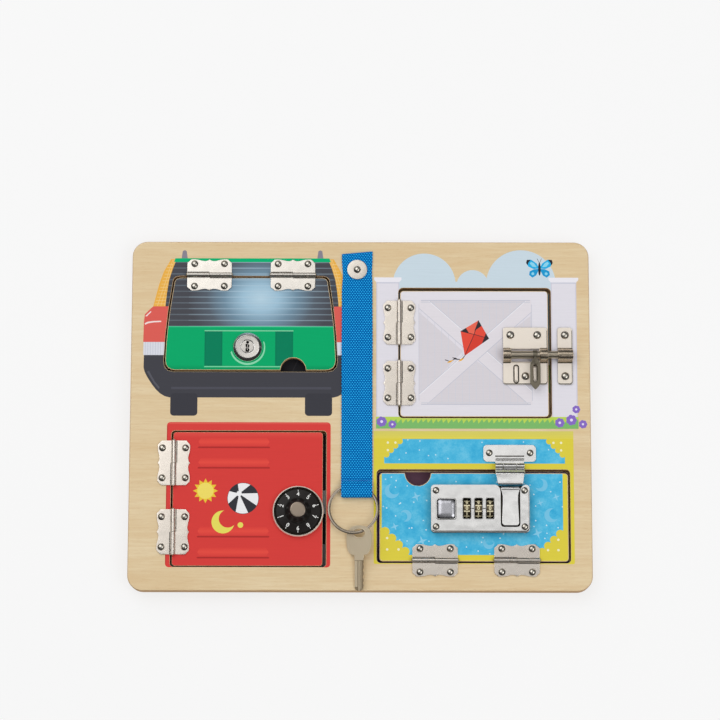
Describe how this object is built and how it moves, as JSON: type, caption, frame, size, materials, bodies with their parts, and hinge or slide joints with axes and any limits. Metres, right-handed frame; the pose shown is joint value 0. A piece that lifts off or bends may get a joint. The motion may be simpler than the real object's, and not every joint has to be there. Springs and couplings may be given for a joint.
{
  "type": "latch board",
  "caption": "Flat wooden activity board with hinged doors, each held by its own working lock or latch, and a webbing strap that carries a ring and key.",
  "frame": {"origin": "middle of the board's back face", "axes": "+Z out of the front, +X to the right and +Y to the top when looking at the front"},
  "size_m": [0.394, 0.3022, 0.0318],
  "materials": {
    "board_wood": "sanded plywood",
    "green_paint": "printed satin paint",
    "white_paint": "printed satin paint",
    "red_paint": "printed satin paint",
    "blue_paint": "printed satin paint",
    "nickel": "warm nickel plate",
    "chrome": "bright plate",
    "black_dial": "satin black with pale figures",
    "webbing": "flat woven webbing",
    "key_metal": "plated"
  },
  "bodies": {
    "board": {"front_frame": "board_wood", "back_board": "board_wood", "car_hinge_left_frame_leaf": "nickel", "car_hinge_right_frame_leaf": "nickel", "gate_hinge_upper_frame_leaf": "nickel", "gate_hinge_lower_frame_leaf": "nickel", "locker_hinge_upper_frame_leaf": "nickel", "locker_hinge_lower_frame_leaf": "nickel", "box_hinge_left_frame_leaf": "nickel", "box_hinge_right_frame_leaf": "nickel", "car_hinge_left_pin": "nickel", "car_hinge_right_pin": "nickel", "gate_hinge_upper_pin": "nickel", "gate_hinge_lower_pin": "nickel", "locker_hinge_upper_pin": "nickel", "locker_hinge_lower_pin": "nickel", "box_hinge_left_pin": "nickel", "box_hinge_right_pin": "nickel", "bolt_keeper": "nickel", "strike_plate": "chrome", "hasp_pin": "nickel", "strap_top": "webbing", "strap_washer": "nickel", "strap_rivet": "nickel"},
    "car_door": {"car_door": "green_paint", "car_hinge_left_door_leaf": "nickel", "car_hinge_right_door_leaf": "nickel", "car_lock_body": "nickel", "car_lock_nut": "nickel"},
    "car_lock": {"car_lock_plug": "nickel", "car_lock_cam": "nickel"},
    "gate_door": {"gate_door": "white_paint", "gate_hinge_upper_door_leaf": "nickel", "gate_hinge_lower_door_leaf": "nickel", "bolt_plate": "nickel"},
    "bolt_rod": {"bolt_rod": "nickel"},
    "bolt_tab": {"bolt_tab": "nickel"},
    "locker_door": {"locker_door": "red_paint", "locker_hinge_upper_door_leaf": "nickel", "locker_hinge_lower_door_leaf": "nickel", "dial_housing": "nickel"},
    "dial": {"dial_face": "black_dial", "dial_knob": "nickel", "dial_cam": "nickel"},
    "box_door": {"box_door": "blue_paint", "box_hinge_left_door_leaf": "nickel", "box_hinge_right_door_leaf": "nickel", "lock_case": "chrome", "lock_wheel_axle": "nickel", "lock_tongue_pin": "nickel"},
    "lock_button": {"lock_button": "chrome"},
    "lock_wheel_1": {"lock_wheel_1": "chrome"},
    "lock_wheel_2": {"lock_wheel_2": "chrome"},
    "lock_wheel_3": {"lock_wheel_3": "chrome"},
    "lock_tongue": {"lock_tongue": "chrome"},
    "hasp_arm": {"hasp_arm": "chrome"},
    "strap": {"strap_webbing": "webbing"},
    "strap_hem": {"strap_hem": "webbing", "key_ring": "nickel"},
    "key": {"key": "key_metal"}
  },
  "joints": [
    {"name": "car_door_hinge", "type": "hinge", "parent": "board", "child": "car_door", "pos_m": [-0.0943, 0.12129, 0.0181], "axis": [-1, 0, 0], "range_deg": [0, 105]},
    {"name": "car_lock_turn", "type": "hinge", "parent": "car_door", "child": "car_lock", "pos_m": [-0.0969, 0.0583, 0.016], "axis": [0, 0, 1], "range_deg": [0, 90]},
    {"name": "gate_door_hinge", "type": "hinge", "parent": "board", "child": "gate_door", "pos_m": [0.0334, 0.0529, 0.0181], "axis": [0, -1, 0], "range_deg": [0, 105]},
    {"name": "bolt_slide", "type": "slide", "parent": "gate_door", "child": "bolt_rod", "axis": [-1, 0, 0], "range_m": [0, 0.016]},
    {"name": "bolt_tab_swing", "type": "hinge", "parent": "bolt_rod", "child": "bolt_tab", "pos_m": [0.1495, 0.0511, 0.0211], "axis": [-1, 0, 0], "range_deg": [0, 90]},
    {"name": "locker_door_hinge", "type": "hinge", "parent": "board", "child": "locker_door", "pos_m": [-0.1588, -0.0727, 0.0181], "axis": [0, -1, 0], "range_deg": [0, 105]},
    {"name": "dial_turn", "type": "hinge", "parent": "locker_door", "child": "dial", "pos_m": [-0.0527, -0.0836, 0.016], "axis": [0, 0, 1], "continuous": true},
    {"name": "box_door_hinge", "type": "hinge", "parent": "board", "child": "box_door", "pos_m": [0.09655, -0.125, 0.0181], "axis": [1, 0, 0], "range_deg": [0, 105]},
    {"name": "lock_button_push", "type": "slide", "parent": "box_door", "child": "lock_button", "axis": [0, 0, -1], "range_m": [0, 0.003], "stiffness_N_per_m": 300},
    {"name": "lock_wheel_1_turn", "type": "hinge", "parent": "box_door", "child": "lock_wheel_1", "pos_m": [0.0904, -0.08145, 0.0157], "axis": [1, 0, 0], "continuous": true},
    {"name": "lock_wheel_2_turn", "type": "hinge", "parent": "box_door", "child": "lock_wheel_2", "pos_m": [0.1002, -0.08145, 0.0157], "axis": [1, 0, 0], "continuous": true},
    {"name": "lock_wheel_3_turn", "type": "hinge", "parent": "box_door", "child": "lock_wheel_3", "pos_m": [0.11, -0.08145, 0.0157], "axis": [1, 0, 0], "continuous": true},
    {"name": "lock_tongue_flip", "type": "hinge", "parent": "box_door", "child": "lock_tongue", "pos_m": [0.1273, -0.06461, 0.0212], "axis": [-1, 0, 0], "range_deg": [0, 75]},
    {"name": "hasp_arm_swing", "type": "hinge", "parent": "board", "child": "hasp_arm", "pos_m": [0.1273, -0.045, 0.0191], "axis": [-1, 0, 0], "range_deg": [0, 100]},
    {"name": "strap_lift", "type": "hinge", "parent": "board", "child": "strap", "pos_m": [-0.0029, 0.11605, 0.0177], "axis": [-1, 0, 0], "range_deg": [0, 100]},
    {"name": "hem_fold", "type": "hinge", "parent": "strap", "child": "strap_hem", "pos_m": [-0.0029, -0.05605, 0.0177], "axis": [-1, 0, 0], "range_deg": [0, 90]},
    {"name": "key_swing", "type": "hinge", "parent": "strap_hem", "child": "key", "pos_m": [-0.0007, -0.10154, 0.02279], "axis": [-0.9676, -0.2512, 0.0245], "range_deg": [0, 22]}
  ]
}
